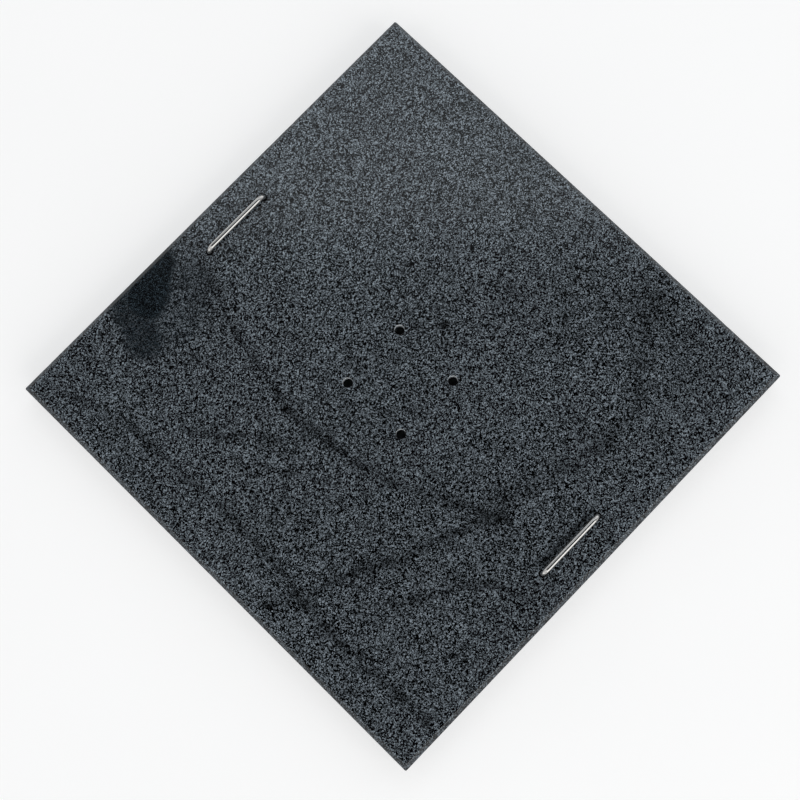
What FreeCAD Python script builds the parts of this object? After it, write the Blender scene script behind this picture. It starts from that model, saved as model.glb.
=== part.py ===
import FreeCAD, Part
import math
import os

# Square granite ballast plate with a four-bolt mast pattern and two lifting handles.
# Millimetres, +Z up.  The origin is on the ground, under the centre of the plate.
# +X runs along the handle bars, +Y from the front handle towards the back one.

# Slab
SLAB_SIDE = 800.0
SLAB_THICKNESS = 50.0
TOP_BEVEL = 7.0
BOTTOM_ARRIS = 2.0
CORNER_ARRIS = 2.0
HOLE_ARRIS = 0.4

# Rubber feet, glued under the slab
FOOT_HEIGHT = 5.0
FOOT_DIAMETER = 50.0
FOOT_EDGE_RADIUS = 1.5
FOOT_OFFSET = 300.0

# Holes for the four M12 bolts of a mast, with a recess for each bolt head
MAST_BOLT_SPACING = 111.0
MAST_HOLE_DIAMETER = 15.5
MAST_RECESS_DIAMETER = 30.0
MAST_RECESS_DEPTH = 32.0

# Handles: a round bar bent into a U, free to slide up until its washers stop it
BAR_DIAMETER = 8.0
LEG_SPACING = 117.0
BEND_RADIUS = 12.0
HANDLE_EDGE_DISTANCE = 53.5
LEG_RECESS_DIAMETER = 26.0
LEG_RECESS_DEPTH = 36.0
LEG_END_INSET = 0.6
THREAD_DIAMETER = 7.8
THREAD_LENGTH = 14.0
THREAD_POINT = 0.8

# Guide sleeves, pushed up into the slab from the leg recesses
SLEEVE_DIAMETER = 11.6
SLEEVE_SEAT_CLEARANCE = 0.05
SLEEVE_RUNNING_CLEARANCE = 0.05
SLEEVE_MOUTH_INSET = 0.6
SLEEVE_MOUTH_CHAMFER = 0.4
SLEEVE_FLANGE_DIAMETER = 18.0
SLEEVE_FLANGE_HEIGHT = 1.5

# M8 washer and nylon lock nut on each leg
NUT_END_INSET = 0.8
NUT_ACROSS_FLATS = 13.0
NUT_HEX_HEIGHT = 6.5
NUT_COLLAR_HEIGHT = 1.6
NUT_COLLAR_DIAMETER = 12.0
NUT_CORNER_CHAMFER = 0.7
RING_DIAMETER = 10.4
RING_HEIGHT = 1.3
WASHER_DIAMETER = 16.0
WASHER_BORE = 8.4
WASHER_HEIGHT = 1.6

# Heights worked out from the sizes above
SLAB_BOTTOM = FOOT_HEIGHT
SLAB_TOP = SLAB_BOTTOM + SLAB_THICKNESS
SLEEVE_MOUTH = SLAB_TOP - SLEEVE_MOUTH_INSET
LEG_SHOULDER = SLAB_BOTTOM + LEG_RECESS_DEPTH
LEG_END = SLAB_BOTTOM + LEG_END_INSET
NUT_BOTTOM = LEG_END + NUT_END_INSET
NUT_HEX_BOTTOM = NUT_BOTTOM + NUT_COLLAR_HEIGHT
WASHER_BOTTOM = NUT_HEX_BOTTOM + NUT_HEX_HEIGHT
WASHER_TOP = WASHER_BOTTOM + WASHER_HEIGHT
HANDLE_TRAVEL = LEG_SHOULDER - SLEEVE_FLANGE_HEIGHT - WASHER_TOP

HANDLE_Y = SLAB_SIDE / 2 - HANDLE_EDGE_DISTANCE
LEG_X = LEG_SPACING / 2
SLEEVE_HOLE_DIAMETER = SLEEVE_DIAMETER + 2 * SLEEVE_SEAT_CLEARANCE
SLEEVE_BORE = BAR_DIAMETER + 2 * SLEEVE_RUNNING_CLEARANCE

ROWS = {"front": -1, "back": 1}
SIDES = {"left": -1, "right": 1}
BORE_OVERRUN = 1.0
UP = FreeCAD.Vector(0, 0, 1)


def cylinder(diameter, bottom, top, x=0.0, y=0.0):
    """A vertical cylinder between two heights."""
    return Part.makeCylinder(diameter / 2, top - bottom, FreeCAD.Vector(x, y, bottom), UP)


def cone(bottom_diameter, top_diameter, bottom, top, x=0.0, y=0.0):
    """A vertical cone frustum between two heights."""
    foot = FreeCAD.Vector(x, y, bottom)
    return Part.makeCone(bottom_diameter / 2, top_diameter / 2, top - bottom, foot, UP)


def horizontal_edges(shape, height):
    """Every edge of the shape that lies flat at this height."""
    chosen = []
    for edge in shape.Edges:
        if abs(edge.BoundBox.ZMin - height) < 1e-6 and abs(edge.BoundBox.ZMax - height) < 1e-6:
            chosen.append(edge)
    return chosen


def drilled_hole(diameter, x, y):
    """The tool for a hole right through the slab, with its upper edge broken."""
    bore = cylinder(diameter, SLAB_BOTTOM - BORE_OVERRUN, SLAB_TOP + BORE_OVERRUN, x, y)
    mouth = cone(diameter, diameter + 2 * HOLE_ARRIS, SLAB_TOP - HOLE_ARRIS, SLAB_TOP, x, y)
    return bore.fuse(mouth)


def recess(diameter, depth, x, y):
    """The tool for a flat-bottomed recess drilled up from the underside."""
    return cylinder(diameter, SLAB_BOTTOM - BORE_OVERRUN, SLAB_BOTTOM + depth, x, y)


def granite_slab():
    """The slab with bevelled edges, mast bolt holes and handle leg holes."""
    corner = FreeCAD.Vector(-SLAB_SIDE / 2, -SLAB_SIDE / 2, SLAB_BOTTOM)
    block = Part.makeBox(SLAB_SIDE, SLAB_SIDE, SLAB_THICKNESS, corner)
    block = block.makeChamfer(TOP_BEVEL, horizontal_edges(block, SLAB_TOP))
    block = block.makeChamfer(BOTTOM_ARRIS, horizontal_edges(block, SLAB_BOTTOM))

    # A prism turned 45 degrees takes the four vertical corners off.
    prism_side = (SLAB_SIDE - CORNER_ARRIS) * math.sqrt(2)
    prism_corner = FreeCAD.Vector(-prism_side / 2, -prism_side / 2, SLAB_BOTTOM)
    prism = Part.makeBox(prism_side, prism_side, SLAB_THICKNESS, prism_corner)
    prism.rotate(FreeCAD.Vector(0, 0, 0), UP, 45)
    block = block.common(prism)

    tools = []
    for row in ROWS.values():
        for side in SIDES.values():
            bolt_x = side * MAST_BOLT_SPACING / 2
            bolt_y = row * MAST_BOLT_SPACING / 2
            tools.append(drilled_hole(MAST_HOLE_DIAMETER, bolt_x, bolt_y))
            tools.append(recess(MAST_RECESS_DIAMETER, MAST_RECESS_DEPTH, bolt_x, bolt_y))
            tools.append(drilled_hole(SLEEVE_HOLE_DIAMETER, side * LEG_X, row * HANDLE_Y))
            tools.append(recess(LEG_RECESS_DIAMETER, LEG_RECESS_DEPTH, side * LEG_X, row * HANDLE_Y))
    return block.cut(tools)


def handle(y):
    """One bar: two threaded legs, two bends and the grip between them."""
    thread_top = LEG_END + THREAD_LENGTH
    point_diameter = THREAD_DIAMETER - 2 * THREAD_POINT
    point = cone(point_diameter, THREAD_DIAMETER, LEG_END, LEG_END + THREAD_POINT, -LEG_X, y)
    thread = cylinder(THREAD_DIAMETER, LEG_END + THREAD_POINT, thread_top, -LEG_X, y)
    leg = cylinder(BAR_DIAMETER, thread_top, SLEEVE_MOUTH, -LEG_X, y)

    section_centre = FreeCAD.Vector(-LEG_X, y, SLEEVE_MOUTH)
    section = Part.Face(Part.Wire(Part.makeCircle(BAR_DIAMETER / 2, section_centre, UP)))
    bend_centre = FreeCAD.Vector(-LEG_X + BEND_RADIUS, y, SLEEVE_MOUTH)
    bend = section.revolve(bend_centre, FreeCAD.Vector(0, 1, 0), 90)

    half_grip = LEG_X - BEND_RADIUS
    grip_start = FreeCAD.Vector(-half_grip, y, SLEEVE_MOUTH + BEND_RADIUS)
    grip = Part.makeCylinder(BAR_DIAMETER / 2, 2 * half_grip, grip_start, FreeCAD.Vector(1, 0, 0))

    left_part = leg.fuse([thread, point, bend])
    right_part = left_part.mirror(FreeCAD.Vector(0, 0, 0), FreeCAD.Vector(1, 0, 0))
    return grip.fuse([left_part, right_part]).removeSplitter()


def guide_sleeve(x, y):
    """A flanged tube that lines one leg hole."""
    tube = cylinder(SLEEVE_DIAMETER, LEG_SHOULDER, SLEEVE_MOUTH, x, y)
    flange_bottom = LEG_SHOULDER - SLEEVE_FLANGE_HEIGHT
    flange = cylinder(SLEEVE_FLANGE_DIAMETER, flange_bottom, LEG_SHOULDER, x, y)
    bore = cylinder(SLEEVE_BORE, flange_bottom - BORE_OVERRUN, SLEEVE_MOUTH + BORE_OVERRUN, x, y)
    mouth_diameter = SLEEVE_BORE + 2 * SLEEVE_MOUTH_CHAMFER
    mouth = cone(SLEEVE_BORE, mouth_diameter, SLEEVE_MOUTH - SLEEVE_MOUTH_CHAMFER, SLEEVE_MOUTH, x, y)
    return tube.fuse(flange).cut([bore, mouth]).removeSplitter()


def washer(x, y):
    """A flat washer on top of the lock nut."""
    disc = cylinder(WASHER_DIAMETER, WASHER_BOTTOM, WASHER_TOP, x, y)
    return disc.cut(cylinder(WASHER_BORE, WASHER_BOTTOM, WASHER_TOP, x, y))


def lock_nut(x, y):
    """A hexagon nut whose lower collar holds the nylon ring."""
    corner_radius = NUT_ACROSS_FLATS / 2 / math.cos(math.radians(30))
    corners = []
    for step in range(7):
        angle = math.radians(60 * step)
        corner_x = x + corner_radius * math.cos(angle)
        corner_y = y + corner_radius * math.sin(angle)
        corners.append(FreeCAD.Vector(corner_x, corner_y, NUT_HEX_BOTTOM))
    hexagon = Part.Face(Part.makePolygon(corners))
    prism = hexagon.extrude(FreeCAD.Vector(0, 0, NUT_HEX_HEIGHT))

    # A cylinder with chamfered ends takes the sharp points off the six corners.
    rim = cylinder(2 * corner_radius, NUT_HEX_BOTTOM, WASHER_BOTTOM, x, y)
    rim_edges = horizontal_edges(rim, NUT_HEX_BOTTOM) + horizontal_edges(rim, WASHER_BOTTOM)
    body = prism.common(rim.makeChamfer(NUT_CORNER_CHAMFER, rim_edges))

    collar = cylinder(NUT_COLLAR_DIAMETER, NUT_BOTTOM, NUT_HEX_BOTTOM, x, y)
    bore = cylinder(THREAD_DIAMETER, NUT_BOTTOM, WASHER_BOTTOM, x, y)
    pocket = cylinder(RING_DIAMETER, NUT_BOTTOM, NUT_BOTTOM + RING_HEIGHT, x, y)
    return body.fuse(collar).cut([bore, pocket]).removeSplitter()


def nylon_ring(x, y):
    """The locking ring inside the nut's collar, round the thread."""
    disc = cylinder(RING_DIAMETER, NUT_BOTTOM, NUT_BOTTOM + RING_HEIGHT, x, y)
    return disc.cut(cylinder(THREAD_DIAMETER, NUT_BOTTOM, NUT_BOTTOM + RING_HEIGHT, x, y))


def rubber_foot(x, y):
    """A round pad with a rounded lower edge, standing on the ground."""
    pad = cylinder(FOOT_DIAMETER, 0.0, FOOT_HEIGHT, x, y)
    return pad.makeFillet(FOOT_EDGE_RADIUS, horizontal_edges(pad, 0.0))


def build_nodes():
    """Every separate piece, by name."""
    nodes = {"granite_slab": granite_slab()}
    for row_name, row in ROWS.items():
        leg_y = row * HANDLE_Y
        nodes[f"{row_name}_handle"] = handle(leg_y)
        for side_name, side in SIDES.items():
            place = f"{row_name}_{side_name}"
            leg_x = side * LEG_X
            nodes[f"{place}_guide_sleeve"] = guide_sleeve(leg_x, leg_y)
            nodes[f"{place}_washer"] = washer(leg_x, leg_y)
            nodes[f"{place}_lock_nut"] = lock_nut(leg_x, leg_y)
            nodes[f"{place}_nylon_ring"] = nylon_ring(leg_x, leg_y)
            nodes[f"{place}_rubber_foot"] = rubber_foot(side * FOOT_OFFSET, row * FOOT_OFFSET)
    return nodes


os.makedirs("parts", exist_ok=True)
for name, shape in build_nodes().items():
    shape.exportStep(f"parts/{name}.step")
    box = shape.BoundBox
    print(f"{name}: valid {shape.isValid()}, {len(shape.Solids)} solid, {shape.Volume:.0f} mm3,"
          f" z {box.ZMin:.1f} to {box.ZMax:.1f}")
print(f"handle travel {HANDLE_TRAVEL:.1f} mm")
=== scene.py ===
import math

import bmesh
import bpy
from mathutils import Matrix, Vector, noise


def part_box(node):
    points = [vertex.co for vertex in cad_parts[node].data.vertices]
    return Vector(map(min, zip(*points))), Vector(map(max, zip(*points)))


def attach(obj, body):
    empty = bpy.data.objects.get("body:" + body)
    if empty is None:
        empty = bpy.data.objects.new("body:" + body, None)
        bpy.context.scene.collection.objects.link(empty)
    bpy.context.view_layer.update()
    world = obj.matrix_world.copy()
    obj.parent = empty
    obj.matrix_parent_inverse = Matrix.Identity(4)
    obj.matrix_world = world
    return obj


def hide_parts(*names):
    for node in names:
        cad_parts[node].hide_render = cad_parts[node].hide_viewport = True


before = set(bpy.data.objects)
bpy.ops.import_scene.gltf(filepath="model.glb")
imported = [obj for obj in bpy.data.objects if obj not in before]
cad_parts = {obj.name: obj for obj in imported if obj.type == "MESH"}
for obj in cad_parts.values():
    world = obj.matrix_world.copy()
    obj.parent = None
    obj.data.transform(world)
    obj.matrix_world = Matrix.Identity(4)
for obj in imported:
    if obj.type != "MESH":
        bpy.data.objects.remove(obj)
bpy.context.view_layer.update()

# Looks of the granite ballast plate.  Metres, in the CAD model's own frame: the origin is on the
# ground under the centre, +X runs along the handle bars and +Y towards the back handle.

MM = 0.001
ROWS = ("front", "back")
SIDES = ("left", "right")
SLAB_BODY = "slab"

# ------------------------------------------------------------------ sizes read from the frame

SLAB_LOW, SLAB_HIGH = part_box("granite_slab")
HALF_SIDE = SLAB_HIGH.x
SLAB_TOP = SLAB_HIGH.z
SLAB_BOTTOM = SLAB_LOW.z
SLAB_MIDDLE = (SLAB_TOP + SLAB_BOTTOM) / 2


def centre_of(node):
    """The middle of a CAD node's box."""
    low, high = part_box(node)
    return (low + high) / 2


# ------------------------------------------------------------------ shape details of the stone

TOP_BEVEL = 7.0 * MM
BOTTOM_ARRIS = 2.0 * MM
SIDE_CORNER_RADIUS = 2.5 * MM
TOP_CORNER_RADIUS = 1.0 * MM
CORNER_STEPS = 6
SLAB_ROUNDING_STEPS = 6
EDGE_STEP = 2.5 * MM
# The strip beside an edge in which its wear ends; beyond it the top face and the underside are flat
CALM_MARGIN = 4.0 * MM

# The edges in the slab's section, from the top down: the sharp corner as (inset, height), the
# radius that rounds it, and how far its chips and wear reach.
SLAB_EDGES = (
    ((TOP_BEVEL, SLAB_TOP), 3.0 * MM, 2.2 * MM),
    ((0.0, SLAB_TOP - TOP_BEVEL), 3.5 * MM, 2.5 * MM),
    ((0.0, SLAB_BOTTOM + BOTTOM_ARRIS), 1.2 * MM, 2.0 * MM),
    ((BOTTOM_ARRIS, SLAB_BOTTOM), 0.8 * MM, 2.0 * MM),
)

# Worn edges: a slight waver everywhere, and flakes where their noise passes the threshold
WAVER_SPACING = 6.0 * MM
WAVER_DEPTH = 0.10 * MM
FLAKE_SPACING = 14.0 * MM
FLAKE_DEPTH = 1.1 * MM
FLAKE_THRESHOLD = 0.42
FLAKE_SHIFT = Vector((5.2, 1.7, 0.0))
GRIT_SPACING = 1.8 * MM
GRIT_SHARE = 0.4
UPPER_CHIP_SEED = 0.31
LOWER_CHIP_SEED = 0.77

# The polish runs over the rounded upper edge until the surface has turned by 38 degrees; the saw
# cut is the flat of the underside alone.
POLISH_REACH = math.cos(math.radians(38))
SAW_CUT_REACH = 0.999

# Each hole goes down to a shoulder, where its wider recess begins.
MAST_BOLT_OFFSET = 55.5 * MM
MAST_HOLE_RADIUS = 7.75 * MM
MAST_RECESS_RADIUS = 15.0 * MM
MAST_SHOULDER = SLAB_BOTTOM + 32.0 * MM
LEG_HOLE_RADIUS = 5.85 * MM
LEG_RECESS_RADIUS = 13.0 * MM
LEG_SHOULDER = SLAB_BOTTOM + 36.0 * MM
HOLE_SEGMENTS = 112

# The broken mouth of a hole, from the face down: (share of the arris out, share of it down)
HOLE_ARRIS = 0.4 * MM
MOUTH_PROFILE = ((1.0, 0.0), (0.55, 0.25), (0.2, 0.6), (0.0, 1.2))
# How rough the mouth is, how much noise goes round it, and how far the noise differs between holes
MOUTH_ROUGHNESS = 0.7
MOUTH_LOWEST = -0.2
MOUTH_WAVES = 2.6
MOUTH_SHIFT = 90
RECESS_ARRIS = 1.0 * MM

# The slab's material slots, one for each finish
POLISHED, HONED, SAWN, DRILLED = range(4)

SLAB_SMOOTHING_DEGREES = 28.0
LEVEL_FACE = 0.9999

# ------------------------------------------------------------------ small geometry helpers


def new_object(name, mesh):
    """A mesh object in the scene, at the origin."""
    made = bpy.data.objects.new(name, mesh)
    bpy.context.scene.collection.objects.link(made)
    return made


def object_from_bmesh(name, bm):
    """Turns a bmesh into an object with its normals facing out."""
    bmesh.ops.recalc_face_normals(bm, faces=bm.faces)
    mesh = bpy.data.meshes.new(name)
    bm.to_mesh(mesh)
    bm.free()
    return new_object(name, mesh)


def smooth_by_angle(piece, degrees):
    """Smooth shading that keeps edges sharper than this angle."""
    piece.data.shade_smooth()
    piece.data.set_sharp_from_angle(angle=math.radians(degrees))


def join_rings(bm, rings, closed):
    """Quads between each ring of vertices and the next.

    If closed, the last ring joins the first as well."""
    pairs = list(zip(rings, rings[1:]))
    if closed:
        pairs.append((rings[-1], rings[0]))
    faces = []
    for ring, following in pairs:
        count = len(ring)
        for i in range(count):
            j = (i + 1) % count
            faces.append(bm.faces.new((ring[i], ring[j], following[j], following[i])))
    return faces


def fillet(before, corner, after, radius, steps):
    """Points of the arc that rounds a corner of a flat outline."""
    before, corner, after = Vector(before), Vector(corner), Vector(after)
    to_before = (before - corner).normalized()
    to_after = (after - corner).normalized()
    half_angle = to_before.angle(to_after) / 2
    reach = radius / math.tan(half_angle)
    start = corner + to_before * reach
    end = corner + to_after * reach
    centre = corner + (to_before + to_after).normalized() * (radius / math.sin(half_angle))
    first = start - centre
    last = end - centre
    sweep = first.angle(last)
    points = []
    for step in range(steps + 1):
        share = step / steps
        weight_first = math.sin((1 - share) * sweep) / math.sin(sweep)
        weight_last = math.sin(share * sweep) / math.sin(sweep)
        points.append(centre + first * weight_first + last * weight_last)
    return points


def rounded(outline, radii, steps, closed=True):
    """The outline with each corner rounded by its own radius; a radius of 0 leaves it sharp."""
    points = []
    count = len(outline)
    for i, radius in enumerate(radii):
        at_end = not closed and i in (0, count - 1)
        if radius == 0 or at_end:
            points.append(Vector(outline[i]))
        else:
            points += fillet(outline[i - 1], outline[i], outline[(i + 1) % count], radius, steps)
    return points


def lathe(name, axis, profile, segments, closed=True, reshape=None):
    """A solid of revolution about a vertical axis.

    The profile is a list of (radius, height) points.  A closed profile makes a ring; an open one
    is capped at both ends.  reshape(radius, height, angle) may change the radius."""
    bm = bmesh.new()
    rings = []
    for radius, height in profile:
        ring = []
        for step in range(segments):
            angle = math.tau * step / segments
            reach = reshape(radius, height, angle) if reshape else radius
            x = axis.x + reach * math.cos(angle)
            y = axis.y + reach * math.sin(angle)
            ring.append(bm.verts.new((x, y, height)))
        rings.append(ring)
    join_rings(bm, rings, closed)
    if not closed:
        bm.faces.new(rings[0])
        bm.faces.new(rings[-1])
    return object_from_bmesh(name, bm)


# ------------------------------------------------------------------ material node helpers

# Nearly all of Blender's noise lies between these.
NOISE_SPAN = (0.3, 0.7)


class Nodes:
    """A short way to build one material's node tree."""

    def __init__(self, name):
        self.material = bpy.data.materials.new(name)
        self.material.use_nodes = True
        self.tree = self.material.node_tree
        self.shader = self.tree.nodes["Principled BSDF"]
        self.place = self.add("ShaderNodeTexCoord").outputs["Object"]

    def add(self, kind, **settings):
        """A new node with these settings."""
        node = self.tree.nodes.new(kind)
        for key, value in settings.items():
            setattr(node, key, value)
        return node

    def put(self, socket, value):
        """Sets a socket to a number or links another socket to it."""
        if isinstance(value, bpy.types.NodeSocket):
            self.tree.links.new(value, socket)
        else:
            socket.default_value = value

    def math(self, operation, a, b=0.0, clamp=False):
        """Maths on two numbers, either of them a socket."""
        node = self.add("ShaderNodeMath", operation=operation, use_clamp=clamp)
        self.put(node.inputs[0], a)
        self.put(node.inputs[1], b)
        return node.outputs[0]

    def vector(self, operation, a, b=(0.0, 0.0, 0.0)):
        """Vector maths; a dot product or a distance gives a number."""
        node = self.add("ShaderNodeVectorMath", operation=operation)
        self.put(node.inputs[0], a)
        self.put(node.inputs[1], b)
        return node.outputs["Value" if operation in ("DOT_PRODUCT", "DISTANCE") else "Vector"]

    def scaled(self, vector, factor):
        """A vector or a colour times a number."""
        node = self.add("ShaderNodeVectorMath", operation="SCALE")
        self.put(node.inputs[0], vector)
        self.put(node.inputs["Scale"], factor)
        return node.outputs[0]

    def noise(self, size, detail=2.0, roughness=0.5, place=None, stretch=None):
        """Noise between 0 and 1 whose features are about this many metres across."""
        node = self.add("ShaderNodeTexNoise")
        place = self.place if place is None else place
        if stretch is not None:
            place = self.vector("MULTIPLY", place, stretch)
        self.put(node.inputs["Vector"], place)
        node.inputs["Scale"].default_value = 1.0 / size
        node.inputs["Detail"].default_value = detail
        node.inputs["Roughness"].default_value = roughness
        return node.outputs["Fac"]

    def wobbled(self, place, size, reach):
        """The place moved about by smooth noise of this size, by up to the reach each way."""
        node = self.add("ShaderNodeTexNoise")
        self.put(node.inputs["Vector"], place)
        node.inputs["Scale"].default_value = 1.0 / size
        node.inputs["Detail"].default_value = 1.0
        centred = self.vector("SUBTRACT", node.outputs["Color"], (0.5, 0.5, 0.5))
        return self.vector("ADD", place, self.scaled(centred, 2.0 * reach))

    def ramp(self, value, stops):
        """A grey ramp through (position, brightness) stops."""
        node = self.add("ShaderNodeValToRGB")
        elements = node.color_ramp.elements
        while len(elements) < len(stops):
            elements.new(0.5)
        for element, (position, brightness) in zip(elements, stops):
            element.position = position
            element.color = (brightness, brightness, brightness, 1.0)
        self.put(node.inputs["Fac"], value)
        return node.outputs["Color"]

    def range(self, value, from_low, from_high, to_low, to_high):
        """Goes smoothly from to_low to to_high as the value goes from from_low to from_high."""
        node = self.add("ShaderNodeMapRange", interpolation_type="SMOOTHSTEP")
        limits = {"From Min": from_low, "From Max": from_high, "To Min": to_low, "To Max": to_high}
        for name, limit in limits.items():
            self.put(node.inputs[name], limit)
        self.put(node.inputs["Value"], value)
        return node.outputs["Result"]

    def spread(self, noise, low, high):
        """Spreads noise over low to high."""
        return self.range(noise, *NOISE_SPAN, low, high)

    def mix(self, factor, a, b):
        """A colour mix of a and b."""
        node = self.add("ShaderNodeMix", data_type="RGBA")
        self.put(node.inputs["Factor"], factor)
        self.put(node.inputs["A"], a)
        self.put(node.inputs["B"], b)
        return node.outputs["Result"]

    def tint(self, brightness, colour):
        """Multiplies a grey by a colour."""
        node = self.add("ShaderNodeMix", data_type="RGBA", blend_type="MULTIPLY")
        node.inputs["Factor"].default_value = 1.0
        self.put(node.inputs["A"], brightness)
        self.put(node.inputs["B"], (*colour, 1.0))
        return node.outputs["Result"]

    def bump(self, height, distance, normal=None):
        """Relief this high, on top of another normal if one is given."""
        node = self.add("ShaderNodeBump")
        node.inputs["Strength"].default_value = 1.0
        node.inputs["Distance"].default_value = distance
        self.put(node.inputs["Height"], height)
        if normal is not None:
            self.put(node.inputs["Normal"], normal)
        return node.outputs["Normal"]

    def set(self, **sockets):
        """Sets the shader's sockets by name, with underscores for spaces."""
        for name, value in sockets.items():
            self.put(self.shader.inputs[name.replace("_", " ")], value)


# ------------------------------------------------------------------ materials of the stone

STONE_TINT = (0.86, 1.0, 1.13)
INCLUSION_TINT = (0.68, 0.98, 1.24)
DRILLED_TINT = (0.96, 1.0, 1.03)
CRYSTAL_SIZE = 1.42 * MM
FLECK_SIZE = 0.80 * MM
FINE_CRYSTAL_SIZE = 0.90 * MM
CRYSTAL_SHARE = 0.93
# How the crystals' outlines wander, as shares of their size: length of the waves, and reach
CRYSTAL_WAVE = 1.6
CRYSTAL_WANDER = 1.3
SKIN_SIZE = 0.6 * MM

# Brightness of the stone by mineral: black mica, dark and pale feldspar, quartz.
MINERALS = ((0.0, 0.0002), (0.56, 0.0004), (0.58, 0.064), (0.74, 0.163), (0.88, 0.295), (1.0, 0.416))
FINE_MINERALS = ((0.0, 0.0003), (0.50, 0.001), (0.62, 0.010), (0.80, 0.032), (1.0, 0.090))

# The marks of the stone, in metres from the middle of the face, with a painted shadow and a painted
# reflection among them.  They go on down the sides.
# Veins: half width, how much darker, and the line that the vein follows.
VEINS = (
    (0.0050, 0.55, ((-0.080, 0.345), (-0.093, 0.305), (-0.120, 0.215), (-0.148, 0.090))),
    (0.0075, 0.60, (
        (-0.148, 0.090), (-0.139, 0.0), (-0.118, -0.090), (-0.085, -0.165), (-0.040, -0.255),
    )),
    (0.0060, 0.52, ((-0.277, 0.183), (-0.217, 0.104), (-0.159, 0.036))),
    (0.0070, 0.52, (
        (-0.353, 0.343), (-0.329, 0.247), (-0.321, 0.106), (-0.315, -0.020), (-0.331, -0.130),
    )),
    (0.0080, 0.58, ((-0.331, -0.130), (-0.339, -0.226), (-0.326, -0.377))),
    (0.0070, 0.62, (
        (-0.372, -0.089), (-0.273, -0.140), (-0.187, -0.180), (-0.104, -0.212), (-0.039, -0.243),
    )),
    (0.0060, 0.46, ((-0.242, -0.223), (-0.183, -0.258), (-0.123, -0.303), (-0.103, -0.355))),
    (0.0150, 0.42, (
        (0.346, -0.177), (0.293, -0.220), (0.225, -0.269), (0.145, -0.283), (-0.023, -0.227),
    )),
    (0.0050, 0.32, ((-0.173, 0.043), (-0.220, 0.017), (-0.288, -0.009))),
    (0.0300, 0.22, ((0.356, -0.187), (0.320, -0.313))),
    (0.0450, 0.18, ((0.215, -0.041), (0.266, -0.138))),
    (0.0300, 0.25, ((-0.080, 0.390), (-0.110, 0.310))),
)
# A vein is broken up by noise of this size into dark stretches and fainter ones.
VEIN_BREAK_SIZE = 0.022
VEIN_BREAK_EDGE = (0.35, 0.60)
VEIN_FAINTEST = 0.45
# Small sharp marks, and a painted shadow: half width, how much darker, and the line.
SPOTS_AND_BAR_SHADOW = (
    (0.006, 0.75, ((0.108, 0.013), (0.109, 0.013))),
    (0.006, 0.60, ((0.063, -0.102), (0.064, -0.102))),
    (0.006, 0.50, ((-0.037, -0.262), (-0.038, -0.262))),
    # Painted shadow: this dark line beside the front handle's bar stands in for the bar's shadow on
    # the stone
    (0.006, 0.62, ((-0.045, -0.338), (0.045, -0.338))),
)
# The dark, fine-grained inclusion by the back edge has three lobes: half width, strength, line.
INCLUSION_LOBES = (
    (0.036, 1.0, ((-0.136, 0.390), (-0.176, 0.362))),
    (0.030, 0.80, ((-0.200, 0.385), (-0.210, 0.345), (-0.222, 0.320))),
    (0.034, 0.38, ((-0.115, 0.335), (-0.165, 0.305))),
)
INCLUSION_SOFTNESS = 0.011
# Veins and lobes wander off their lines in long waves with ripples on them: (size, reach).
MARK_WAVES = ((0.09, 0.008), (0.02, 0.004))
# Painted reflection: the stone's colour is made paler towards one corner of the face, standing in
# for the sheen of a bright light in the polish.
PAINTED_SHEEN_DIRECTION = (0.64, 0.77, 0.0)
PAINTED_SHEEN_START = 0.08
PAINTED_SHEEN_END = 0.32
PAINTED_SHEEN_GAIN = 1.24

# Brightness varies a little over noise of these sizes: (size, lowest, highest).
POLISHED_CLOUDS = (0.16, 0.93, 1.07)
POLISHED_PATCHES = (0.018, 0.90, 1.10)
DULL_CLOUDS = (0.05, 0.92, 1.08)

# The polish, and the black mica that takes it less well than the other minerals.
POLISH_ROUGHNESS = (0.08, 0.12)
MICA_BRIGHTEST = 0.05
MICA_ROUGHNESS_GAIN = 1.35
POLISH_RELIEF = 0.006 * MM

SAW_MARK_SIZE = 1.4 * MM
DULL_RELIEF_SIZE = 2.0 * MM
DRILL_RING_SIZE = 0.5 * MM
DRILL_RING_DEPTH = 0.12 * MM
DRILL_RING_GREY = (0.52, 0.68)
DRILLED_GRAIN_SHARE = 0.9
DRILLED_RELIEF_SIZE = 1.1 * MM
DRILLED_RELIEF = 0.2 * MM
# Stretches that draw noise out into saw marks along Y, and into rings round a hole
ALONG_Y = (1.0, 0.03, 1.0)
LEVEL_RINGS = (0.02, 0.02, 1.0)


def crystals(n, place, size):
    """A random grey for each crystal of about this size."""
    cells = n.add("ShaderNodeTexVoronoi", feature="F1")
    n.put(cells.inputs["Vector"], place)
    cells.inputs["Scale"].default_value = 1.0 / size
    split = n.add("ShaderNodeSeparateColor")
    n.put(split.inputs[0], cells.outputs["Color"])
    return split.outputs["Red"]


def crystal_brightness(n, size, minerals):
    """The stone's salt-and-pepper grain, as a grey."""
    place = n.wobbled(n.place, CRYSTAL_WAVE * size, CRYSTAL_WANDER * size)
    coarse = n.math("MULTIPLY", crystals(n, place, size), CRYSTAL_SHARE)
    flecks = crystals(n, place, size * FLECK_SIZE / CRYSTAL_SIZE)
    fine = n.math("MULTIPLY", flecks, 1.0 - CRYSTAL_SHARE)
    return n.ramp(n.math("ADD", coarse, fine), minerals)


def distance_to_line(n, place, line):
    """The distance from a place on the face to the nearest point of a line of straight runs."""
    nearest = None
    for near_end, far_end in zip(line, line[1:]):
        start = Vector((*near_end, 0.0))
        along = Vector((*far_end, 0.0)) - start
        from_start = n.vector("SUBTRACT", place, tuple(start))
        reached = n.vector("DOT_PRODUCT", from_start, tuple(along))
        share = n.math("DIVIDE", reached, along.length_squared, clamp=True)
        gap = n.vector("DISTANCE", from_start, n.scaled(tuple(along), share))
        nearest = gap if nearest is None else n.math("MINIMUM", nearest, gap)
    return nearest


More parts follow.
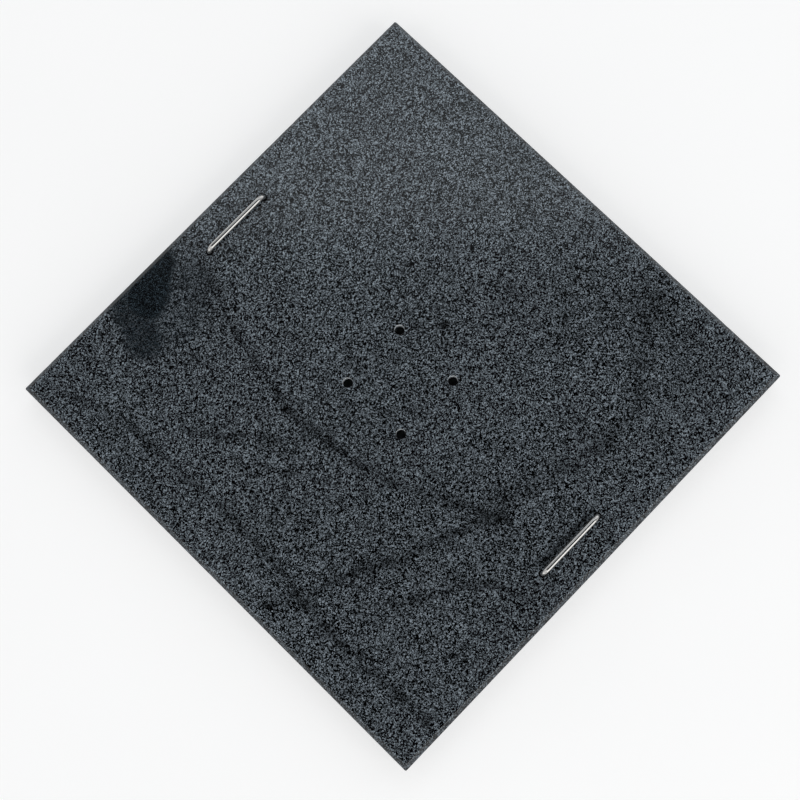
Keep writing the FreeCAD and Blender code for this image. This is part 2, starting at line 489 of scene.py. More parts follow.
def marks_and_painted_light(n):
    """(shade, inclusion): how the veins and spots darken the stone, with a painted shadow beside the
    front bar and a painted reflection that pales one corner, and where the inclusion is.
    """
    wandering = n.place
    for size, reach in MARK_WAVES:
        wandering = n.wobbled(wandering, size, reach)
    place = n.vector("MULTIPLY", wandering, (1.0, 1.0, 0.0))
    # Painted reflection: paler towards one corner, standing in for the sheen of a bright light in
    # the polish
    across = n.vector("DOT_PRODUCT", place, PAINTED_SHEEN_DIRECTION)
    shade = n.range(across, PAINTED_SHEEN_START, PAINTED_SHEEN_END, 1.0, PAINTED_SHEEN_GAIN)
    broken = n.range(n.noise(VEIN_BREAK_SIZE), *VEIN_BREAK_EDGE, VEIN_FAINTEST, 1.0)
    for half_width, depth, line in VEINS:
        gap = distance_to_line(n, place, line)
        darkest = n.math("SUBTRACT", 1.0, n.math("MULTIPLY", broken, depth))
        shade = n.math("MULTIPLY", shade, n.range(gap, 0.0, 2.0 * half_width, darkest, 1.0))
    true_place = n.vector("MULTIPLY", n.place, (1.0, 1.0, 0.0))
    # The spots, and the painted shadow beside the front bar
    for half_width, depth, line in SPOTS_AND_BAR_SHADOW:
        gap = distance_to_line(n, true_place, line)
        spot_and_shadow = n.range(gap, 0.5 * half_width, 1.5 * half_width, 1.0 - depth, 1.0)
        shade = n.math("MULTIPLY", shade, spot_and_shadow)
    inclusion = 0.0
    for half_width, strength, line in INCLUSION_LOBES:
        gap = distance_to_line(n, place, line)
        inner = half_width - INCLUSION_SOFTNESS
        outer = half_width + INCLUSION_SOFTNESS
        inclusion = n.math("MAXIMUM", inclusion, n.range(gap, inner, outer, strength, 0.0))
    return shade, inclusion


def mottle(n, size, lowest, highest, detail=3.0):
    """Brightness that varies a little from place to place."""
    return n.spread(n.noise(size, detail), lowest, highest)


def polished_granite(name):
    """The polished upper face, with its grain, veins and dark inclusion, a painted shadow beside the
    front bar and a painted reflection that pales one corner.
    """
    n = Nodes(name)
    shade, inclusion = marks_and_painted_light(n)
    grain = crystal_brightness(n, CRYSTAL_SIZE, MINERALS)
    fine_grain = crystal_brightness(n, FINE_CRYSTAL_SIZE, FINE_MINERALS)
    stone = n.mix(inclusion, n.tint(grain, STONE_TINT), n.tint(fine_grain, INCLUSION_TINT))
    clouds = mottle(n, *POLISHED_CLOUDS)
    patches = mottle(n, *POLISHED_PATCHES, detail=2.0)
    strength = n.math("MULTIPLY", shade, n.math("MULTIPLY", clouds, patches))
    n.set(Base_Color=n.scaled(stone, strength), Specular_IOR_Level=0.42)
    skin = n.noise(SKIN_SIZE)
    on_mica = n.range(grain, 0.0, MICA_BRIGHTEST, MICA_ROUGHNESS_GAIN, 1.0)
    n.set(Roughness=n.math("MULTIPLY", n.spread(skin, *POLISH_ROUGHNESS), on_mica))
    n.set(Normal=n.bump(grain, POLISH_RELIEF))
    return n.material


def dull_granite(name, grain_share, base_grey, roughness, relief, saw_marks=0.0, with_marks_and_painted_light=False):
    """Granite that isn't polished: flatter in colour, because its rough skin scatters light.

    Its grey is a share of the grain's brightness plus base_grey, the rough skin's own.  saw_marks
    is how much the marks of the saw change that, and relief is the depth of the skin."""
    n = Nodes(name)
    grain = crystal_brightness(n, CRYSTAL_SIZE, MINERALS)
    skin = n.noise(SKIN_SIZE)
    clouds = mottle(n, *DULL_CLOUDS)
    # The honed sides get the veins, spots and inclusion, and with them the painted shadow and the
    # painted reflection of the top face
    if with_marks_and_painted_light:
        shade, inclusion = marks_and_painted_light(n)
        grain = n.mix(inclusion, grain, crystal_brightness(n, FINE_CRYSTAL_SIZE, FINE_MINERALS))
        clouds = n.math("MULTIPLY", shade, clouds)
    saw = n.spread(n.noise(SAW_MARK_SIZE, stretch=ALONG_Y), 1.0 - saw_marks, 1.0 + saw_marks)
    grey = n.math("ADD", n.math("MULTIPLY", grain, grain_share), n.math("MULTIPLY", saw, base_grey))
    n.set(Base_Color=n.tint(n.math("MULTIPLY", grey, clouds), STONE_TINT), Specular_IOR_Level=0.22)
    n.set(Roughness=n.spread(skin, roughness * 0.88, roughness * 1.12))
    n.set(Normal=n.bump(n.math("ADD", skin, n.noise(DULL_RELIEF_SIZE)), relief))
    return n.material


def drilled_granite(name):
    """Raw core-drilled stone: pale, dull, with the drill's fine rings."""
    n = Nodes(name)
    grain = crystal_brightness(n, CRYSTAL_SIZE, MINERALS)
    rings = n.noise(DRILL_RING_SIZE, stretch=LEVEL_RINGS)
    ring_grey = n.spread(rings, *DRILL_RING_GREY)
    grey = n.math("ADD", n.math("MULTIPLY", grain, DRILLED_GRAIN_SHARE), ring_grey)
    n.set(Base_Color=n.tint(grey, DRILLED_TINT), Roughness=0.85, Specular_IOR_Level=0.25)
    rough_wall = n.bump(n.noise(DRILLED_RELIEF_SIZE, 3.0), DRILLED_RELIEF)
    n.set(Normal=n.bump(rings, DRILL_RING_DEPTH, normal=rough_wall))
    return n.material


# ------------------------------------------------------------------ other materials

SCRATCH_SIZE = 0.25 * MM
SMUDGE_SIZE = 11.0 * MM
SMUDGE_EDGE = (0.45, 0.75)
SMUDGE_ROUGHNESS = 0.08
MOULDED_SKIN_SIZE = 0.35 * MM
MOULDED_SKIN_DEPTH = 0.04 * MM
DUST_SIZE = 6.0 * MM
DUST_EDGE = (0.55, 0.8)
DUST_GAIN = 1.6
DUST_LIFT = 0.02
# Stretches that draw scratches out along the bar, or leave them with no direction
ALONG_BAR = (0.04, 1.0, 1.0)
EVERY_WAY = (1.0, 1.0, 1.0)


def steel(name, colour, roughness, brush, brush_depth):
    """Polished steel with faint smudges and fine scratches, which brush may draw out one way."""
    n = Nodes(name)
    scratches = n.noise(SCRATCH_SIZE, 3.0, 0.6, stretch=brush)
    smudges = n.noise(SMUDGE_SIZE, 3.0)
    scratched = n.spread(scratches, roughness * 0.75, roughness * 1.25)
    smudged = n.range(smudges, *SMUDGE_EDGE, 0.0, SMUDGE_ROUGHNESS)
    tone = n.spread(smudges, 0.94, 1.0)
    n.set(Base_Color=n.tint(tone, colour), Metallic=1.0)
    n.set(Roughness=n.math("ADD", scratched, smudged))
    n.set(Normal=n.bump(scratches, brush_depth))
    return n.material


def plastic(name, colour, roughness, specular=0.4, dust_share=0.35):
    """Moulded plastic or rubber with a fine matt skin and light dust."""
    n = Nodes(name)
    skin = n.noise(MOULDED_SKIN_SIZE, 3.0)
    dust = n.range(n.noise(DUST_SIZE, 3.0), *DUST_EDGE, 0.0, dust_share)
    dusty = tuple(min(1.0, part * DUST_GAIN + DUST_LIFT) for part in colour)
    n.set(Base_Color=n.mix(dust, (*colour, 1.0), (*dusty, 1.0)))
    n.set(Roughness=n.spread(skin, roughness * 0.9, roughness * 1.1), Specular_IOR_Level=specular)
    n.set(Normal=n.bump(skin, MOULDED_SKIN_DEPTH))
    return n.material


# ------------------------------------------------------------------ the slab


def outline(half, corner_radius):
    """A square outline with rounded corners; the same number of points for every size."""
    points = []
    side_steps = round(2 * HALF_SIDE / EDGE_STEP)
    for quarter in range(4):
        turn = Matrix.Rotation(quarter * math.pi / 2, 2)
        inner = half - corner_radius
        for step in range(CORNER_STEPS):
            angle = math.pi / 2 * step / CORNER_STEPS
            x = inner + corner_radius * math.cos(angle)
            y = inner + corner_radius * math.sin(angle)
            points.append(turn @ Vector((x, y)))
        for step in range(side_steps):
            share = step / side_steps
            points.append(turn @ Vector((inner - 2 * inner * share, half)))
    return points


def chip_size(place, seed):
    """How deep the broken edge is here: a slight waver, and now and then a small flake."""
    shifted = place + Vector((0, 0, seed))
    waver = abs(noise.noise(shifted / WAVER_SPACING)) * WAVER_DEPTH
    patch = noise.noise(shifted / FLAKE_SPACING + FLAKE_SHIFT)
    flake = max(0.0, patch - FLAKE_THRESHOLD) / (1.0 - FLAKE_THRESHOLD) * FLAKE_DEPTH
    grit = 1.0 - GRIT_SHARE + GRIT_SHARE * noise.noise(shifted / GRIT_SPACING)
    return waver + flake * grit


def slab_profile():
    """(inset, height, chip share) rings from the top face's calm margin down to the underside."""
    corners = [(TOP_BEVEL + CALM_MARGIN, SLAB_TOP)]
    corners += [corner for corner, _, _ in SLAB_EDGES]
    corners.append((BOTTOM_ARRIS + CALM_MARGIN, SLAB_BOTTOM))
    radii = [0, *(radius for _, radius, _ in SLAB_EDGES), 0]
    rings = []
    for inset, height in rounded(corners, radii, SLAB_ROUNDING_STEPS, closed=False):
        chip_share = 0.0
        for (edge_inset, edge_height), _, reach in SLAB_EDGES:
            gap = math.hypot(inset - edge_inset, height - edge_height)
            chip_share = max(chip_share, 1.0 - gap / reach)
        rings.append((inset, height, chip_share))
    return rings


def into_the_stone(flat, height):
    """The direction in from a place on the slab's outline, away from every side that it is near."""
    near_x_side = abs(flat.x) > abs(flat.y) - EDGE_STEP
    near_y_side = abs(flat.y) > abs(flat.x) - EDGE_STEP
    x = -math.copysign(1, flat.x) if near_x_side else 0.0
    y = -math.copysign(1, flat.y) if near_y_side else 0.0
    z = -1.0 if height > SLAB_MIDDLE else 1.0
    return Vector((x, y, z)).normalized()


def slab_block():
    """The slab before drilling, with worn and slightly chipped edges."""
    bm = bmesh.new()
    rings = []
    for inset, height, chip_share in slab_profile():
        depth_share = min(1.0, inset / TOP_BEVEL)
        radius = SIDE_CORNER_RADIUS + (TOP_CORNER_RADIUS - SIDE_CORNER_RADIUS) * depth_share
        seed = UPPER_CHIP_SEED if height > SLAB_MIDDLE else LOWER_CHIP_SEED
        ring = []
        for flat in outline(HALF_SIDE - inset, radius):
            place = Vector((flat.x, flat.y, height))
            depth = chip_size(place, seed) * chip_share
            ring.append(bm.verts.new(place + into_the_stone(flat, height) * depth))
        rings.append(ring)
    for face in join_rings(bm, rings, closed=False):
        face.normal_update()
        slope = abs(face.normal.z)
        if face.calc_center_median().z > SLAB_MIDDLE:
            face.material_index = POLISHED if slope > POLISH_REACH else HONED
        else:
            face.material_index = SAWN if slope > SAW_CUT_REACH else HONED
    bm.faces.new(rings[0]).material_index = POLISHED
    bm.faces.new(rings[-1]).material_index = SAWN
    return object_from_bmesh("granite_slab_finished", bm)


def drill_bit(name, axis, hole_radius, recess_radius, shoulder):
    """The shape that a drilled hole and its recess take out, with a slightly broken mouth."""
    beyond = 2.0 * MM
    profile = [(hole_radius + HOLE_ARRIS, SLAB_TOP + beyond)]
    for out, down in MOUTH_PROFILE:
        profile.append((hole_radius + out * HOLE_ARRIS, SLAB_TOP - down * HOLE_ARRIS))
    profile += [
        (hole_radius, shoulder),
        (recess_radius, shoulder),
        (recess_radius, SLAB_BOTTOM + RECESS_ARRIS),
        (recess_radius + 0.5 * RECESS_ARRIS, SLAB_BOTTOM + 0.3 * RECESS_ARRIS),
        (recess_radius + 0.8 * RECESS_ARRIS, SLAB_BOTTOM - beyond),
    ]

    def broken_mouth(radius, height, angle):
        if height < SLAB_TOP - 0.5 * HOLE_ARRIS or radius > recess_radius:
            return radius
        around = Vector((math.cos(angle), math.sin(angle), 0.0)) * MOUTH_WAVES
        around += Vector((axis.x, axis.y, 0)) * MOUTH_SHIFT
        return radius + max(MOUTH_LOWEST, noise.noise(around)) * MOUTH_ROUGHNESS * HOLE_ARRIS

    bit = lathe(name, axis, profile, HOLE_SEGMENTS, closed=False, reshape=broken_mouth)
    above_shoulder = shoulder + 0.1 * MM
    mouth_bottom = SLAB_TOP - 1.3 * HOLE_ARRIS
    for face in bit.data.polygons:
        if face.center.z < above_shoulder:
            face.material_index = SAWN
        else:
            face.material_index = DRILLED if face.center.z < mouth_bottom else POLISHED
    return bit


def drill(block, bits):
    """Cuts every bit out of the block and removes the bits."""
    for bit in bits:
        cut = block.modifiers.new("drill", "BOOLEAN")
        cut.operation = "DIFFERENCE"
        cut.solver = "EXACT"
        cut.object = bit
    evaluated = block.evaluated_get(bpy.context.evaluated_depsgraph_get())
    drilled = bpy.data.meshes.new_from_object(evaluated)
    block.modifiers.clear()
    block.data = drilled
    for bit in bits:
        bpy.data.objects.remove(bit)


def build_slab():
    """The drilled slab with its four finishes."""
    block = slab_block()
    finishes = (
        polished_granite("granite_polished"),
        dull_granite("granite_honed", grain_share=0.62, base_grey=0.009, roughness=0.45,
                     relief=0.05 * MM, with_marks_and_painted_light=True),
        dull_granite("granite_sawn", grain_share=0.55, base_grey=0.115, roughness=0.75,
                     relief=0.18 * MM, saw_marks=0.12),
        drilled_granite("granite_drilled"),
    )
    for finish in finishes:
        block.data.materials.append(finish)
    bits = []
    for row, row_sign in zip(ROWS, (-1, 1)):
        for side, side_sign in zip(SIDES, (-1, 1)):
            bolt_axis = Vector((side_sign * MAST_BOLT_OFFSET, row_sign * MAST_BOLT_OFFSET, 0))
            leg_axis = centre_of(f"{row}_{side}_guide_sleeve")
            bits.append(drill_bit(
                "mast_bit", bolt_axis, MAST_HOLE_RADIUS, MAST_RECESS_RADIUS, MAST_SHOULDER))
            bits.append(drill_bit(
                "leg_bit", leg_axis, LEG_HOLE_RADIUS, LEG_RECESS_RADIUS, LEG_SHOULDER))
    drill(block, bits)
    smooth_by_angle(block, SLAB_SMOOTHING_DEGREES)
    for face in block.data.polygons:
        if abs(face.normal.z) > LEVEL_FACE:
            face.use_smooth = False
    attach(block, SLAB_BODY)
    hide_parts("granite_slab")


# ------------------------------------------------------------------ handles and their hardware

BAR_SEGMENTS = 48
BEND_STEPS = 20
THREAD_PITCH = 1.25 * MM
THREAD_DEPTH = 0.62 * MM
THREAD_RADIUS = 3.9 * MM
THREAD_STEPS_PER_TURN = 10
THREAD_TOP_ABOVE_END = 14.0 * MM
THREAD_POINT = 0.8 * MM
# The thread ends in a short step up to the plain bar, and its crests are cut a little flat.
THREAD_RUNOUT = 0.25 * MM
CREST_FLAT = 0.15

TURNED_SEGMENTS = 72
ROUNDING_STEPS = 4
SLEEVE_BORE = 4.05 * MM
SLEEVE_CLEARANCE = 0.05 * MM
FLANGE_THICKNESS = 1.5 * MM
# Roundings of the sleeve's section, from the bore below, out round the flange, to the bore on top
SLEEVE_EDGES = (0.2 * MM, 0.4 * MM, 0.4 * MM, 0.0, 0.25 * MM, 0.35 * MM)
WASHER_BORE = 4.2 * MM
WASHER_EDGE = 0.22 * MM
NYLON_BORE = 3.9 * MM
NYLON_EDGE = 0.2 * MM
NYLON_SEGMENTS = 64

# The lock nut: a collar below, with a pocket for the nylon ring, and the hexagon above it
NUT_SEGMENTS = 144
NUT_BORE = 3.9 * MM
NUT_COLLAR_HEIGHT = 1.6 * MM
NUT_COLLAR_RADIUS = 5.95 * MM
NUT_POCKET_DEPTH = 1.3 * MM
NUT_POCKET_RADIUS = 5.2 * MM
NUT_LIP = 0.1 * MM
NUT_EDGE = 0.35 * MM
NUT_COLLAR_EDGE_HEIGHT = 0.4 * MM
NUT_CHAMFER_DEGREES = 30
NUT_CHAMFER_INSET = 0.25 * MM
NUT_CHAMFER_STEPS = 8

# The ribbed sole of a foot: flat middle, first groove, spacing and shape of the grooves
SOLE_MIDDLE = 0.8 * MM
FIRST_GROOVE = 2.0 * MM
GROOVE_SPACING = 3.0 * MM
GROOVE_DEPTH = 0.7 * MM
GROOVE_WIDTH = 1.2 * MM
GROOVE_SLOPE = 0.25 * MM
PLAIN_RIM = 4.0 * MM
SOLE_EDGE = 1.5 * MM
FOOT_TOP_EDGE = 0.4 * MM


def bar_route(low, high, radius, bend_z):
    """(centre, direction, height above the leg's end) along the bar, from one leg end to the other.

    The bends start at the height bend_z, where the bar rests on the mouths of its sleeves."""
    axis_y = (low.y + high.y) / 2
    leg_x = high.x - radius
    bend_radius = high.z - radius - bend_z
    thread_steps = round(THREAD_TOP_ABOVE_END / THREAD_PITCH * THREAD_STEPS_PER_TURN)
    heights = []
    for step in range(thread_steps + 1):
        heights.append(low.z + THREAD_TOP_ABOVE_END * step / thread_steps)
    thread_top = heights[-1]
    heights += [thread_top + THREAD_RUNOUT, (thread_top + bend_z) / 2]
    half = []
    for height in heights:
        half.append((Vector((-leg_x, axis_y, height)), Vector((0, 0, 1)), height - low.z))
    for step in range(BEND_STEPS + 1):
        angle = math.pi / 2 * step / BEND_STEPS
        inward = bend_radius * (1 - math.cos(angle))
        upward = bend_radius * math.sin(angle)
        centre = Vector((-leg_x + inward, axis_y, bend_z + upward))
        direction = Vector((math.sin(angle), 0, math.cos(angle)))
        half.append((centre, direction, centre.z - low.z))
    mirrored = []
    for centre, direction, above_end in reversed(half):
        centre = Vector((-centre.x, centre.y, centre.z))
        direction = Vector((direction.x, 0, -direction.z))
        mirrored.append((centre, direction, above_end))
    return half + mirrored


def thread_radius(above_end, angle, bar_radius):
    """The bar's radius here: an M8 thread near the end, plain bar above it."""
    if above_end > THREAD_TOP_ABOVE_END:
        return bar_radius
    turn = above_end / THREAD_PITCH - angle / math.tau
    groove = abs(2 * (turn - math.floor(turn)) - 1)
    depth = THREAD_DEPTH * max(0.0, (1.0 + CREST_FLAT) * groove - CREST_FLAT)
    fade = min(1.0, (THREAD_TOP_ABOVE_END - above_end) / THREAD_PITCH)
    point = max(0.0, THREAD_POINT - above_end)
    return min(THREAD_RADIUS - depth * fade, THREAD_RADIUS - point)


def build_handle(row, finish):
    """The bar with its two legs, swept along its route."""
    node = f"{row}_handle"
    low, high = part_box(node)
    radius = (high.y - low.y) / 2
    bm = bmesh.new()
    rings = []
    sleeve_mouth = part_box(f"{row}_left_guide_sleeve")[1].z
    across = Vector((0, 1, 0))
    for centre, direction, above_end in bar_route(low, high, radius, sleeve_mouth):
        inward = across.cross(direction)
        ring = []
        for step in range(BAR_SEGMENTS):
            angle = math.tau * step / BAR_SEGMENTS
            outward = inward * math.cos(angle) + across * math.sin(angle)
            reach = thread_radius(above_end, angle, radius)
            ring.append(bm.verts.new(centre + outward * reach))
        rings.append(ring)
    join_rings(bm, rings, closed=False)
    bm.faces.new(rings[0])
    bm.faces.new(rings[-1])
    bar = object_from_bmesh(f"{row}_handle_bar", bm)
    smooth_by_angle(bar, degrees=40.0)
    bar.data.materials.append(finish)
    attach(bar, node)
    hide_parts(node)


def ring_profile(inner, outer, bottom, top, edge):
    """A rectangular ring section with all four edges rounded."""
    section = ((inner, bottom), (outer, bottom), (outer, top), (inner, top))
    return rounded(section, (edge, edge, edge, edge), ROUNDING_STEPS)


def finish_piece(piece, node, body, material, degrees=35.0):
    """Shades a detailed piece and lets it stand for its CAD node."""
    smooth_by_angle(piece, degrees)
    piece.data.materials.append(material)
    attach(piece, body)
    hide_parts(node)


def build_sleeve(place, material):
    """The flanged sleeve in a leg hole."""
    node = f"{place}_guide_sleeve"
    low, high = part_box(node)
    flange_radius = (high.x - low.x) / 2
    tube_radius = LEG_HOLE_RADIUS - SLEEVE_CLEARANCE
    flange_top = low.z + FLANGE_THICKNESS
    section = (
        (SLEEVE_BORE, low.z),
        (flange_radius, low.z),
        (flange_radius, flange_top),
        (tube_radius, flange_top),
        (tube_radius, high.z),
        (SLEEVE_BORE, high.z),
    )
    profile = rounded(section, SLEEVE_EDGES, ROUNDING_STEPS)
    sleeve = lathe(f"{place}_sleeve_moulding", centre_of(node), profile, TURNED_SEGMENTS)
    finish_piece(sleeve, node, SLAB_BODY, material)


def build_washer(place, body, material):
    """The flat washer between a sleeve's flange and the nut."""
    node = f"{place}_washer"
    low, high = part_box(node)
    profile = ring_profile(WASHER_BORE, (high.x - low.x) / 2, low.z, high.z, WASHER_EDGE)
    washer = lathe(f"{place}_washer_disc", centre_of(node), profile, TURNED_SEGMENTS)
    finish_piece(washer, node, body, material)


def build_nut(place, body, material):
    """The hexagon lock nut: chamfered corners, a rolled collar and a plain bore."""
    node = f"{place}_lock_nut"
    low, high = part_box(node)
    flat_radius = (high.y - low.y) / 2
    corner_radius = flat_radius / math.cos(math.pi / 6)
    hex_bottom = low.z + NUT_COLLAR_HEIGHT
    pocket_top = low.z + NUT_POCKET_DEPTH
    slope = math.tan(math.radians(NUT_CHAMFER_DEGREES))
    chamfer = (corner_radius - flat_radius + NUT_CHAMFER_INSET) * slope

    def hexagon(radius, height, angle):
        """Cuts the full radius down to the hexagon's flats and the chamfers at its two ends."""
        if radius < corner_radius:
            return radius
        flat = flat_radius / math.cos(angle % (math.pi / 3) - math.pi / 6)
        from_end = min(height - hex_bottom, high.z - height)
        cone = flat_radius - NUT_CHAMFER_INSET + from_end / slope
        return min(flat, cone)

    profile = [
        (NUT_BORE, pocket_top),
        (NUT_POCKET_RADIUS, pocket_top),
        (NUT_POCKET_RADIUS, low.z + NUT_LIP),
        (NUT_POCKET_RADIUS + 1.5 * NUT_LIP, low.z),
        (NUT_COLLAR_RADIUS - NUT_EDGE, low.z),
        (NUT_COLLAR_RADIUS, low.z + NUT_COLLAR_EDGE_HEIGHT),
        (NUT_COLLAR_RADIUS, hex_bottom),
    ]
    for step in range(NUT_CHAMFER_STEPS + 1):
        profile.append((corner_radius, hex_bottom + chamfer * step / NUT_CHAMFER_STEPS))
    for step in range(NUT_CHAMFER_STEPS + 1):
        profile.append((corner_radius, high.z - chamfer * (1 - step / NUT_CHAMFER_STEPS)))
    profile += [(NUT_BORE + NUT_EDGE, high.z), (NUT_BORE, high.z - NUT_EDGE)]
    nut = lathe(f"{place}_nut_hexagon", centre_of(node), profile, NUT_SEGMENTS, reshape=hexagon)
    finish_piece(nut, node, body, material, degrees=25.0)


def build_nylon_ring(place, body, material):
    """The locking ring in the nut's collar."""
    node = f"{place}_nylon_ring"
    low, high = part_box(node)
    profile = ring_profile(NYLON_BORE, (high.x - low.x) / 2, low.z, high.z, NYLON_EDGE)
    ring = lathe(f"{place}_locking_ring", centre_of(node), profile, NYLON_SEGMENTS)
    finish_piece(ring, node, body, material)


def build_foot(place, material):
    """A round rubber pad with a ribbed sole."""
    node = f"{place}_rubber_foot"
    low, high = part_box(node)
    radius = (high.x - low.x) / 2
    groove_top = low.z + GROOVE_DEPTH
    profile = [(SOLE_MIDDLE, low.z)]
    for groove in range(int((radius - PLAIN_RIM) / GROOVE_SPACING)):
        start = FIRST_GROOVE + groove * GROOVE_SPACING
        profile += [
            (start, low.z),
            (start + GROOVE_SLOPE, groove_top),
            (start + GROOVE_WIDTH - GROOVE_SLOPE, groove_top),
            (start + GROOVE_WIDTH, low.z),
        ]
    profile += fillet((0.0, low.z), (radius, low.z), (radius, high.z), SOLE_EDGE, steps=6)
    profile += fillet((radius, low.z), (radius, high.z), (0.0, high.z), FOOT_TOP_EDGE, steps=3)
    profile.append((SOLE_MIDDLE, high.z))
    foot = lathe(f"{place}_foot_pad", centre_of(node), profile, TURNED_SEGMENTS, closed=False)
    finish_piece(foot, node, SLAB_BODY, material, degrees=40.0)


def build_handles_and_feet():
    """Both handles with their sleeves and hardware, and the feet."""
    bar_steel = steel("stainless_bar", (0.57, 0.56, 0.545), roughness=0.15,
                      brush=ALONG_BAR, brush_depth=0.004 * MM)
    fastener_steel = steel("stainless_fastener", (0.52, 0.52, 0.51), roughness=0.3,
                           brush=EVERY_WAY, brush_depth=0.006 * MM)
    # Partly painted shadow: the sleeves' nylon is made nearly black, darker than black nylon is, so
    # that it also stands in for the shadow in the narrow gap round each leg
    black_nylon = plastic("black_nylon", (0.003, 0.003, 0.0035), roughness=0.8,
                          specular=0.05, dust_share=0.05)
    natural_nylon = plastic("natural_nylon", (0.72, 0.71, 0.65), roughness=0.45)
    foot_rubber = plastic("foot_rubber", (0.018, 0.018, 0.018), roughness=0.8, specular=0.3)
    for row in ROWS:
        build_handle(row, bar_steel)
        for side in SIDES:
            place = f"{row}_{side}"
            build_sleeve(place, black_nylon)
            build_washer(place, f"{row}_handle", fastener_steel)
            build_nut(place, f"{row}_handle", fastener_steel)
            build_nylon_ring(place, f"{row}_handle", natural_nylon)
            build_foot(place, foot_rubber)


# ------------------------------------------------------------------ studio

FLOOR_SIDE = 90.0
FLOOR_TONE = 0.60
FLOOR_CLOUD_SIZE = 0.5
# The floor glows from just inside the slab's outline outwards, and more far away, where the
# softboxes don't light it.  Each edge is where its glow starts and is full, from the middle.
FLOOR_GLOW = 0.55
FLOOR_GLOW_EDGE = (HALF_SIDE - 0.045, HALF_SIDE - 0.005)
FAR_FLOOR_GLOW = 0.27
FAR_FLOOR_GLOW_EDGE = (2.0, 6.5)

SENSOR_WIDTH_MM = 36.0
CAMERA_LENS_MM = 56.25
CAMERA_PLACE = Vector((-0.154, -0.212, SLAB_TOP + 1.844))
CAMERA_TARGET = Vector((-0.020, -0.019, SLAB_TOP))
CAMERA_HEADING = math.radians(44.2)

# The sky of the studio is nearly black overhead, grey around and white in a thin band above the
# horizon.  The edges between them are given as the upward part of the direction.
SKY_TINT = (0.97, 0.985, 1.0, 1.0)
OVERHEAD_RADIANCE = 0.02
AROUND_RADIANCE = 0.34
HORIZON_RADIANCE = 0.99
HORIZON_EDGE = (math.sin(math.radians(3)), math.sin(math.radians(9)))
OVERHEAD_EDGE = (math.cos(math.radians(40)), math.cos(math.radians(17)))

# Softboxes round the slab: name, compass angle in the XY plane and angle from overhead (degrees),
# width, height, radiance, colour.
SOFTBOX_DISTANCE = 6.4
SOFTBOXES = (
    ("key", -96.0, 59.0, 7.4, 5.4, 1.45, (1.0, 0.99, 0.97)),
    ("left_fill", 184.0, 61.0, 7.4, 6.9, 0.66, (1.0, 0.99, 0.98)),
    ("rear", 45.0, 35.0, 5.2, 4.2, 0.74, (0.90, 0.96, 1.0)),
    ("upper_left", 98.0, 73.0, 7.4, 2.6, 0.66, (0.94, 0.97, 1.0)),
    ("upper_right", 6.0, 68.0, 7.4, 5.1, 0.58, (0.94, 0.97, 1.0)),
)


def build_floor():
    """A white light table: it glows, except under the slab, and it glows more far away."""
    bm = bmesh.new()
    bmesh.ops.create_grid(bm, x_segments=2, y_segments=2, size=FLOOR_SIDE / 2)
    floor = object_from_bmesh("studio_floor", bm)
    n = Nodes("studio_floor_paper")
    tone = n.spread(n.noise(FLOOR_CLOUD_SIZE), 0.98 * FLOOR_TONE, FLOOR_TONE)
    n.set(Base_Color=n.tint(tone, (1.0, 1.0, 1.0)), Roughness=0.95, Specular_IOR_Level=0.1)
    split = n.add("ShaderNodeSeparateXYZ")
    n.put(split.inputs["Vector"], n.vector("ABSOLUTE", n.place))
    from_middle = n.math("MAXIMUM", split.outputs["X"], split.outputs["Y"])
    near_glow = n.range(from_middle, *FLOOR_GLOW_EDGE, 0.0, FLOOR_GLOW)
    far_glow = n.range(from_middle, *FAR_FLOOR_GLOW_EDGE, 0.0, FAR_FLOOR_GLOW)
    n.set(Emission_Color=(1.0, 1.0, 1.0, 1.0), Emission_Strength=n.math("ADD", near_glow, far_glow))
    floor.data.materials.append(n.material)


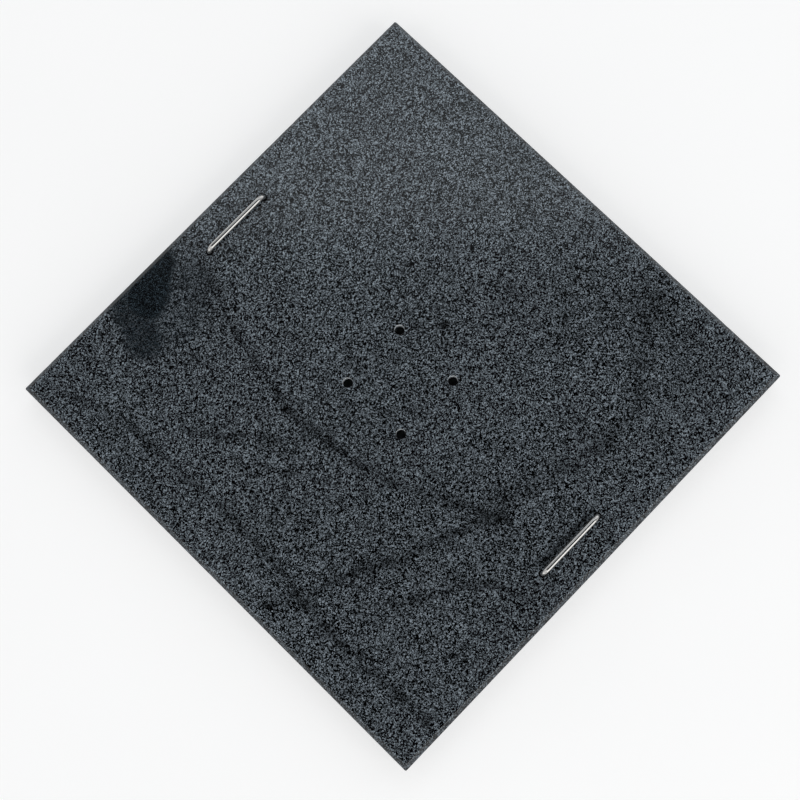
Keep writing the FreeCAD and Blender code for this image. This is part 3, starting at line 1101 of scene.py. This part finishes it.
def build_softbox(name, compass, from_overhead, width, height, radiance, colour):
    """A rectangular area light aimed at the middle of the slab's face."""
    data = bpy.data.lights.new(name, "AREA")
    data.shape = "RECTANGLE"
    data.size = width
    data.size_y = height
    data.color = colour
    data.energy = radiance * math.pi * width * height
    lamp = bpy.data.objects.new(name, data)
    bpy.context.scene.collection.objects.link(lamp)
    heading = math.radians(compass)
    tilt = math.radians(from_overhead)
    level = math.sin(tilt)
    direction = Vector((math.cos(heading) * level, math.sin(heading) * level, math.cos(tilt)))
    middle = Vector((0, 0, SLAB_TOP))
    lamp.location = middle + direction * SOFTBOX_DISTANCE
    lamp.rotation_euler = direction.to_track_quat("Z", "Y").to_euler()


def build_world():
    """The studio's sky, which lights the scene softly and shows in the polish."""
    world = bpy.data.worlds.new("studio")
    world.use_nodes = True
    tree = world.node_tree
    background = tree.nodes["Background"]
    background.inputs["Color"].default_value = SKY_TINT
    direction = tree.nodes.new("ShaderNodeTexCoord")
    split = tree.nodes.new("ShaderNodeSeparateXYZ")
    tree.links.new(direction.outputs["Generated"], split.inputs["Vector"])

    def fade(edge, lower, upper):
        """Goes from lower to upper as the direction rises through the edge."""
        node = tree.nodes.new("ShaderNodeMapRange")
        node.interpolation_type = "SMOOTHSTEP"
        tree.links.new(split.outputs["Z"], node.inputs["Value"])
        limits = {"From Min": edge[0], "From Max": edge[1], "To Min": lower, "To Max": upper}
        for name, limit in limits.items():
            node.inputs[name].default_value = limit
        return node

    near_horizon = fade(HORIZON_EDGE, HORIZON_RADIANCE, AROUND_RADIANCE)
    near_overhead = fade(OVERHEAD_EDGE, AROUND_RADIANCE, OVERHEAD_RADIANCE)
    tree.links.new(near_horizon.outputs["Result"], near_overhead.inputs["To Min"])
    tree.links.new(near_overhead.outputs["Result"], background.inputs["Strength"])
    bpy.context.scene.world = world


def build_camera():
    """The camera of the photograph, looking down on the slab."""
    data = bpy.data.cameras.new("camera")
    data.sensor_width = SENSOR_WIDTH_MM
    data.lens = CAMERA_LENS_MM
    camera = bpy.data.objects.new("camera", data)
    bpy.context.scene.collection.objects.link(camera)
    back = (CAMERA_PLACE - CAMERA_TARGET).normalized()
    heading = Vector((math.cos(CAMERA_HEADING), math.sin(CAMERA_HEADING), 0.0))
    right = heading.cross(back).normalized()
    up = back.cross(right)
    pose = Matrix((right, up, back)).transposed().to_4x4()
    pose.translation = CAMERA_PLACE
    camera.matrix_world = pose
    bpy.context.scene.camera = camera


def main():
    bpy.context.scene.view_settings.view_transform = "Standard"
    build_slab()
    build_handles_and_feet()
    build_floor()
    for softbox in SOFTBOXES:
        build_softbox(*softbox)
    build_world()
    build_camera()


main()
